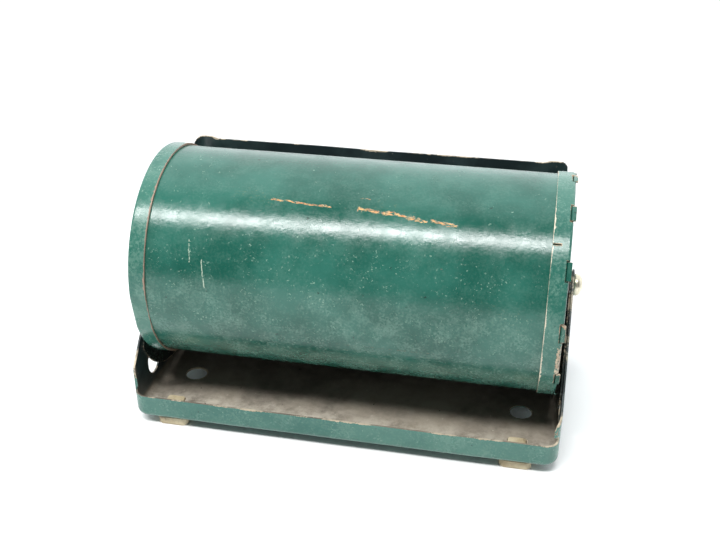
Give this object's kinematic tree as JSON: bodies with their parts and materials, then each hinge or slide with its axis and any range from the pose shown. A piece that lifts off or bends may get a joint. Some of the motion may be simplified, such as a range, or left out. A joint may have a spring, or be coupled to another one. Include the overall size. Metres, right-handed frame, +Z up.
{
  "type": "drum tape dispenser",
  "caption": "Enamelled steel drum that turns on an axle in a pressed steel cradle, with a tape spindle inside and a tall rear wall whose top edge tears the tape.",
  "frame": {"origin": "on the table under the middle of the cradle: centre of the footprint at the feet's lowest level", "axes": "+X along the axle to the right, +Y to the tall rear wall, +Z up; the low lip faces -Y"},
  "size_m": [0.2234, 0.116, 0.129],
  "materials": {
    "drum_enamel": "semi-gloss stoved enamel, worn and scratched",
    "cradle_enamel": "semi-gloss enamel outside, dark and dusty inside",
    "plate_enamel": "dark enamel, dull",
    "foot_rubber": "aged pale rubber, matt",
    "axle_steel": "drawn steel, dull",
    "axle_cap_nickel": "old nickel plate, yellowed",
    "hub_brass": "turned brass, tarnished",
    "spindle_steel": "zinc-plated sheet, dulled"
  },
  "bodies": {
    "frame": {"cradle": "cradle_enamel", "left_bearing_plate": "plate_enamel", "right_bearing_plate": "plate_enamel", "front_left_foot": "foot_rubber", "front_right_foot": "foot_rubber", "rear_left_foot": "foot_rubber", "rear_right_foot": "foot_rubber", "axle": "axle_steel", "left_axle_cap": "axle_cap_nickel", "right_axle_cap": "axle_cap_nickel", "left_thrust_washer": "axle_steel", "right_spring_washer": "axle_steel", "left_spacer": "spindle_steel", "right_spacer": "spindle_steel"},
    "drum": {"drum_shell": "drum_enamel", "left_end_cap": "drum_enamel", "right_end_cap": "drum_enamel", "left_hub": "hub_brass", "right_hub": "hub_brass"},
    "spindle": {"spindle_tube": "spindle_steel", "left_spindle_flange": "spindle_steel", "right_spindle_flange": "spindle_steel", "left_spindle_bush": "hub_brass", "right_spindle_bush": "hub_brass"}
  },
  "joints": [
    {"name": "drum_turn", "type": "hinge", "parent": "frame", "child": "drum", "pos_m": [0, 0, 0.074], "axis": [1, 0, 0], "continuous": true},
    {"name": "spindle_spin", "type": "hinge", "parent": "frame", "child": "spindle", "pos_m": [0, 0, 0.074], "axis": [1, 0, 0], "continuous": true}
  ]
}
